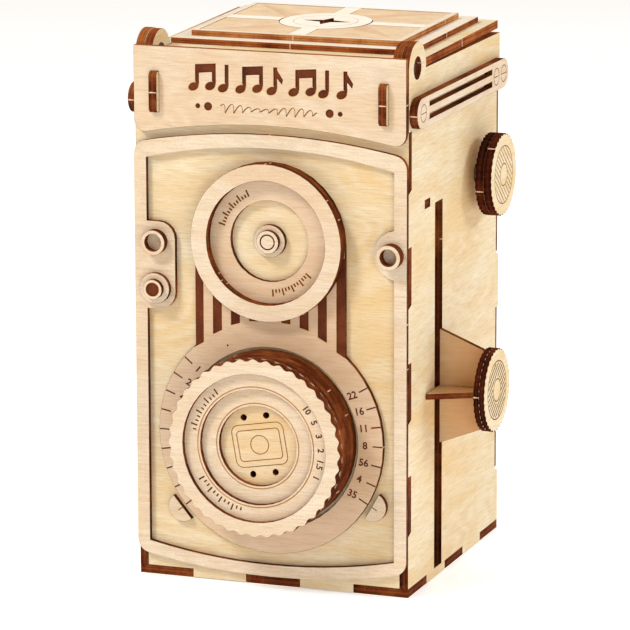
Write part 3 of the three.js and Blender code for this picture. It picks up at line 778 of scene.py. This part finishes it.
def engrave_lenses():
    engrave(Plane("scale_plate", "-y"), [
        (0.05, SCORCH, 0.14, draw_stripes),
        (0.35, BURNT, 0.0, draw_stripes),
        (0.22, DIGIT, 0.0, draw_scale),
        (0.04, SCORCH, 0.14, draw_view_marks),
        (0.22, DIGIT, 0.0, draw_view_marks),
    ])
    engrave(Plane("focus_ring_middle", "-y"), [
        (0.22, DIGIT, 0.0, draw_focus_marks),
        (0.25, FINE, 0.0, lambda marks: marks.ring(0, LENS_Z, 21.35, 0.42, 96)),
    ])
    engrave(Plane("focus_ring_inner", "-y"), [
        (0.25, FINE, 0.0, lambda marks: marks.ring(0, LENS_Z, 15.15, 0.42, 80)),
    ])
    engrave(Plane("focus_disc_front", "-y"), [(0.2, LINE, 0.0, draw_viewfinder)])
    engrave(Plane("view_lens_hub_cap", "-y"), [
        (0.4, BURNT, 0.0, lambda marks: marks.ring(0, VIEW_Z, 2.55, 0.5, 40)),
    ])


# ---- small engraved pieces ----------------------------------------------------------------------------
BUTTON_R = 2.45
STUD_TICK = (42.9, 45.3)
SCREWS_Y = (-43.2, 37.3, 45.6)
SCREW_R = 3.0
BAR_Z = 169.4
KNOB_INNER = 4.0
KNOB_OUTER = 10.3
KNOB_HATCH = (                 # slant, stroke width and floor of each knob's hatching
    ("winding_knob_front", -41, 0.36, LINE),
    ("lift_knob_front", 35, 0.6, BURNT),
)
HATCH_PITCH = 1.72
HATCH_GAP = 0.15               # wood left between a stroke's end and the circle
SHORTEST_STROKE = 1.0


def engrave_button():
    low, high = flat_box("button_cap")
    centre = (low + high) / 2
    engrave(Plane("button_cap", "-y"), [
        (0.05, SCORCH, 0.18, lambda marks: marks.disc(centre.x, centre.z, BUTTON_R)),
        (0.40, BURNT, 0.0, lambda marks: marks.disc(centre.x, centre.z, BUTTON_R)),
    ])


def engrave_studs():
    for name, angle in (("stud_right", -30), ("stud_left", 220)):
        def tick(marks, angle=angle):
            draw_tick(marks, LENS_Z, *STUD_TICK, angle, 0.32)
        engrave(Plane(name, "-y"), [(0.2, BURNT, 0.0, tick)])


def draw_screw_rims(marks):
    for a in SCREWS_Y:
        marks.ring(a, BAR_Z, SCREW_R, 0.36, 40)


def draw_screw_slots(marks):
    reach = SCREW_R - 0.3
    for a in SCREWS_Y:
        marks.line([(a + reach, BAR_Z), (a - reach, BAR_Z)], 0.34)


def engrave_side_bars():
    for name, towards in (("side_bar_right", "+x"), ("side_bar_left", "-x")):
        engrave(Plane(name, towards), [(0.2, LINE, 0.0, draw_screw_rims), (0.2, LINE, 0.0, draw_screw_slots)])


def hatch(marks, ca, cb, slope, width):
    """Parallel strokes at a slant across the ring between the two circles of a knob."""
    lean = Matrix.Rotation(math.radians(slope), 2)
    rows = int(KNOB_OUTER / HATCH_PITCH)
    edge = width / 2 + HATCH_GAP
    for row in range(-rows, rows + 1):
        level = row * HATCH_PITCH
        far = math.sqrt(max(0.0, KNOB_OUTER ** 2 - (abs(level) + edge) ** 2)) - edge
        near = math.sqrt(max(0.0, KNOB_INNER ** 2 - max(0.0, abs(level) - edge) ** 2))
        if near > 0:
            near += edge
        if far - near < SHORTEST_STROKE:
            continue
        pieces = [(near, far), (-far, -near)] if near > 0 else [(-far, far)]
        for start, end in pieces:
            ends = [lean @ Vector((spot, level)) for spot in (start, end)]
            marks.line([(ca + p.x, cb + p.y) for p in ends], width)


def engrave_knobs():
    for name, slope, width, floor in KNOB_HATCH:
        low, high = flat_box(name)
        centre = (low + high) / 2

        def rims(marks, centre=centre):
            marks.ring(centre.y, centre.z, KNOB_OUTER, 0.4, 72)
            marks.ring(centre.y, centre.z, KNOB_INNER, 0.4, 40)

        def strokes(marks, centre=centre, slope=slope, width=width):
            hatch(marks, centre.y, centre.z, slope, width)
        engrave(Plane(name, "+x"), [(0.25, floor, 0.0, strokes), (0.25, floor, 0.0, rims)])


# ---- lid marks ----------------------------------------------------------------------------------------
LID_CENTRE = (-0.4, 6.6)
LID_FIELD = (-36.8, 36.4, -22.6, 35.4)   # lowest and highest X, lowest and highest Y
CROSS = 3.1                    # half width of the cross
LID_DISC = 16.5
LID_RING = 11.5
RAY_SPREAD = 24
STAR_Y = 6.5
STAR_REACH = (9.32, 7.12)
STAR_WAIST = 2.76


def disc_arc():
    """A quarter of the disc's outline between two arms of the cross, about the disc's own middle."""
    start = math.degrees(math.asin(CROSS / LID_DISC))
    return arc_points(0, 0, LID_DISC, start, 90 - start, 16)


def lid_quadrant(side_a, side_b):
    """A corner field of the lid, cut off by the cross and by the disc in the middle."""
    ca, cb = LID_CENTRE
    edge_a = LID_FIELD[1] if side_a > 0 else LID_FIELD[0]
    edge_b = LID_FIELD[3] if side_b > 0 else LID_FIELD[2]
    corners = [(edge_a, cb + side_b * CROSS), (edge_a, edge_b), (ca + side_a * CROSS, edge_b)]
    return corners + [(ca + side_a * a, cb + side_b * b) for a, b in disc_arc()[::-1]]


def draw_lid_fields(marks):
    for side_a in (-1, 1):
        for side_b in (-1, 1):
            marks.area(lid_quadrant(side_a, side_b))


def draw_lid_rays(marks):
    """A ray from the disc to each corner, half of a compass rose."""
    ca, cb = LID_CENTRE
    for edge_a in LID_FIELD[:2]:
        for edge_b in LID_FIELD[2:]:
            tip = Vector((edge_a - ca, edge_b - cb)) * 0.97
            foot = tip.normalized() * (LID_DISC + 0.6)
            heel = Matrix.Rotation(math.radians(RAY_SPREAD), 2) @ foot
            marks.area([(ca + spot.x, cb + spot.y) for spot in (tip, foot, heel)])


def draw_lid_cross(marks):
    """The cross with the disc in its middle, as one outline."""
    ca, cb = LID_CENTRE
    ends = (LID_FIELD[1] - ca, LID_FIELD[3] - cb, ca - LID_FIELD[0], cb - LID_FIELD[2])
    outline = []
    for quarter, end in enumerate(ends):
        turned = Matrix.Rotation(math.radians(90 * quarter), 2)
        for spot in [(end, -CROSS), (end, CROSS)] + disc_arc():
            spot = turned @ Vector(spot)
            outline.append((ca + spot.x, cb + spot.y))
    marks.area(outline)


def draw_lid_outlines(marks):
    for side_a in (-1, 1):
        for side_b in (-1, 1):
            marks.line(lid_quadrant(side_a, side_b), 0.22, True)


def draw_lid_arcs(marks):
    """The disc's outline is burnt darkest at its left and right."""
    for middle in (0, 180):
        arc = arc_points(*LID_CENTRE, LID_DISC, middle - 30, middle + 30, 24)
        marks.line(arc, [0.15 + 0.50 * (1 - abs(step) / 12) for step in range(-12, 13)])


def draw_star_walls(marks):
    """Just outside the star-shaped hole, to give its walls a dark burn of their own."""
    outline = []
    for corner in range(8):
        across, along_y = STAR_REACH if corner % 2 == 0 else (STAR_WAIST, STAR_WAIST)
        turn = math.radians(90 + 45 * corner)
        outline.append((across * math.cos(turn), STAR_Y + along_y * math.sin(turn)))
    marks.area(outline)


def engrave_lid():
    engrave(Plane("lid_plate_top", "+z"), [
        (0.12, TAN, 0.0, draw_lid_fields),
        (0.14, RAY, 0.0, draw_lid_rays),
        (0.05, BARE, 0.0, draw_lid_cross),
        (0.22, LINE, 0.0, draw_lid_outlines),
        (0.26, BURNT, 0.0, draw_lid_arcs),
        (1.9, BURNT, 0.0, draw_star_walls),
        (0.15, TAN, 0.0, lambda marks: marks.ring(*LID_CENTRE, LID_RING, 0.3)),
    ])


# ---- snapped bridges ----------------------------------------------------------------------------------
LIFT_SLOT_WALL = -13.7
EAR_HOLE_R = 4.0
VIEW_RING_R = 27.6
VIEW_RING_HOLE = 21.8
SCALE_R = 41.5
BARREL_R = 31.2
PLATE_BRIDGE_Z = 173.2
TAB_BRIDGE_Z = 173.0
BAR_BRIDGE_Z = 169.2
FRAME_BRIDGES_Z = (81.6, 97.3)
SLOT_BRIDGE_Z = 120.0
PROFILE = ((0.03, 0.6, 0.5), (0.3, 1.1, 1.0), (0.62, 0.8, 0.8), (0.97, 0.7, 0.4))   # depth, width, height


def bridge(mesh, node, spot, out, reach_from=0.0, width=0.55, proud=0.14):
    """A sliver across the sheet's edge. spot is on the edge and out points away from the sheet, both in
    the sheet's plane, in millimetres. reach_from is the share of the thickness that it leaves free."""
    axis = "xyz".index(thin_axis(node))
    low, high = flat_box(node)
    flat = [i for i in range(3) if i != axis]
    out = Vector(out).normalized()
    side = Vector((-out.y, out.x))
    rings = []
    for share, wide, tall in PROFILE:
        level = low[axis] + (high[axis] - low[axis]) * (reach_from + (1 - reach_from) * share)
        ring = []
        for across, reach in ((-0.5, -0.5), (-0.32, tall), (0.32, tall * 0.85), (0.5, -0.5)):
            flat_spot = Vector(spot) + side * across * wide * width + out * reach * proud
            place = [0.0, 0.0, 0.0]
            place[axis] = level
            place[flat[0]] = flat_spot.x
            place[flat[1]] = flat_spot.y
            ring.append(mesh.verts.new(placed(node, place)))
        rings.append(ring)
    for here, there in zip(rings, rings[1:]):
        for k in range(4):
            m = (k + 1) % 4
            mesh.faces.new((here[k], here[m], there[m], there[k]))
    mesh.faces.new(rings[0][::-1])
    mesh.faces.new(rings[-1])


def bridges(name, body, places):
    """One piece that holds all the bridges of a body."""
    mesh = bmesh.new()
    for place in places:
        bridge(mesh, *place)
    bmesh.ops.recalc_face_normals(mesh, faces=mesh.faces)
    data = bpy.data.meshes.new(name)
    mesh.to_mesh(data)
    mesh.free()
    data.materials.append(SNAPPED)
    piece = bpy.data.objects.new(name, data)
    bpy.context.scene.collection.objects.link(piece)
    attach(piece, body)


def round_bridges(node, ca, cb, r, angles, inward=False):
    found = []
    for angle in angles:
        out = polar(0, 0, -1 if inward else 1, angle)
        found.append((node, polar(ca, cb, r, angle), out))
    return found


def make_bridges():
    box = {name: flat_box(name) for name in nodes}
    case = []
    case += round_bridges("view_lens_ring_rear", 0, VIEW_Z, VIEW_RING_R, (88, 20, 232))
    case += round_bridges("view_lens_ring_front", 0, VIEW_Z, VIEW_RING_R, (36, 90, 300))
    case += round_bridges("view_lens_ring_rear", 0, VIEW_Z, VIEW_RING_HOLE, (214, 226), True)
    case += round_bridges("view_lens_ring_front", 0, VIEW_Z, VIEW_RING_HOLE, (221,), True)
    case.append(("nameplate", (box["nameplate"][1].x, PLATE_BRIDGE_Z), (1, 0)))
    case.append(("nameplate", (box["nameplate"][0].x, PLATE_BRIDGE_Z), (-1, 0)))
    case.append(("front_frame", (0, box["front_frame"][1].z), (0, 1)))
    case.append(("front_frame", (0, box["front_frame"][0].z), (0, -1)))
    case.append(("side_bar_right", (box["side_bar_right"][0].y, BAR_BRIDGE_Z), (-1, 0)))
    case.append(("side_bar_left", (box["side_bar_left"][0].y, BAR_BRIDGE_Z), (-1, 0)))
    for height in FRAME_BRIDGES_Z:
        case.append(("front_frame", (box["front_frame"][1].x, height), (1, 0)))
    case.append(("right_panel", (LIFT_SLOT_WALL, SLOT_BRIDGE_Z), (-1, 0), 0.6))
    for out in round_bridges("right_panel", HINGE.y / MM, HINGE.z / MM, EAR_HOLE_R, (17,), True):
        case.append((*out, 0.5, 0.55, 0.1))
    for side in ("left", "right"):
        name = "nameplate_tab_" + side
        case.append((name, (box[name][0].y, TAB_BRIDGE_Z), (-1, 0)))
    case += round_bridges("scale_plate", 0, LENS_Z, SCALE_R, (0,))
    bridges("case_bridges", "case", case)
    lid = []
    for name, a, b in (("lid_plate_top", -1.1, 22), ("lid_plate_middle", -0.1, 6.8),
                       ("lid_plate_bottom", 1.4, 7.8)):
        lid.append((name, (a, box[name][0].y), (0, -1)))
        lid.append((name, (box[name][1].x, b), (1, 0)))
        lid.append((name, (box[name][0].x, b + 2), (-1, 0)))
        lid.append((name, (-a, box[name][1].y), (0, 1)))
    bridges("lid_bridges", "lid", lid)
    focus = []
    focus += round_bridges("focus_barrel_rear", 0, LENS_Z, BARREL_R, (21, 112, 250))
    focus += round_bridges("focus_barrel_front", 0, LENS_Z, BARREL_R, (40, 120, 330))
    bridges("focus_bridges", "focus", focus)
    for knob, body, places in (("winding_knob", "winding", (("front", 132), ("rear", 196))),
                               ("lift_knob", "lift", (("rear", 179),))):
        found = []
        for layer, angle in places:
            name = knob + "_" + layer
            middle = (box[name][0] + box[name][1]) / 2
            radius = (box[name][1].z - box[name][0].z) / 2 - 0.1
            found += round_bridges(name, middle.y, middle.z, radius, (angle,))
        bridges(knob + "_bridges", body, found)


# ---- the rest of the frame ----------------------------------------------------------------------------
def finish_nodes():
    for name, node in nodes.items():
        node.data.materials.clear()
        node.data.materials.append(finish_of(name))
        if not node.hide_render:
            soften(node, EDGE if slot_of[name] in ("birch_ply", "trim_ply") else FINE_EDGE)


# ---- studio -------------------------------------------------------------------------------------------
FLOOR_GAP = 0.0002


def area_light(name, place, size, power, colour=(1, 1, 1)):
    data = bpy.data.lights.new(name, "AREA")
    data.shape = "RECTANGLE"
    data.size, data.size_y = size
    data.energy = power
    data.color = colour
    light = bpy.data.objects.new(name, data)
    light.location = place
    middle = (cad_low + cad_high) / 2
    light.rotation_euler = (middle - Vector(place)).to_track_quat("-Z", "Y").to_euler()
    bpy.context.scene.collection.objects.link(light)


def studio_floor():
    mesh = bmesh.new()
    reach = 6.0
    below = cad_low.z - FLOOR_GAP
    corners = [(-reach, -reach), (reach, -reach), (reach, reach), (-reach, reach)]
    mesh.faces.new([mesh.verts.new((x, y, below)) for x, y in corners])
    data = bpy.data.meshes.new("studio_floor")
    mesh.to_mesh(data)
    mesh.free()
    shader = Shader("studio_paper", (0.9, 0.9, 0.9))
    fibre = shader.noise((900, 900, 900), 3, 0.6, 0.0, 1.0)
    colour = shader.mix(fibre, (0.94, 0.94, 0.94), (0.90, 0.90, 0.90))
    shader.principled.inputs["Emission Color"].default_value = (1, 1, 1, 1)
    fixed = {"Specular_IOR_Level": 0.1, "Emission_Strength": 0.46}
    data.materials.append(shader.finish(colour, 0.9, fibre, 0.00002, **fixed))
    floor = bpy.data.objects.new("studio_floor", data)
    bpy.context.scene.collection.objects.link(floor)


def make_studio():
    studio_floor()
    area_light("key", (-0.8, -1.0, 1.45), (0.4, 0.4), 20, (1.0, 0.985, 0.975))
    area_light("top", (0.05, 0.35, 1.5), (0.9, 0.9), 6.6)
    area_light("side", (1.42, 0.4, 0.85), (0.45, 0.45), 8.4, (0.96, 0.99, 1.05))
    area_light("fill", (1.0, -1.2, 0.3), (0.6, 0.6), 3.5, (1.0, 0.95, 0.89))
    world = bpy.data.worlds.new("studio")
    world.use_nodes = True
    tree = world.node_tree
    backdrop = tree.nodes["Background"]
    glow = tree.nodes.new("ShaderNodeMix")
    glow.data_type = "RGBA"
    glow.inputs[6].default_value = (0.28, 0.25, 0.21, 1)
    glow.inputs[7].default_value = (1, 1, 1, 1)
    tree.links.new(tree.nodes.new("ShaderNodeLightPath").outputs["Is Camera Ray"], glow.inputs[0])
    tree.links.new(glow.outputs[2], backdrop.inputs["Color"])
    bpy.context.scene.world = world
    bpy.context.scene.view_settings.view_transform = "Standard"


make_camera()
engrave_nameplate()
engrave_lenses()
engrave_button()
engrave_studs()
engrave_side_bars()
engrave_knobs()
engrave_lid()
make_bridges()
finish_nodes()
make_studio()
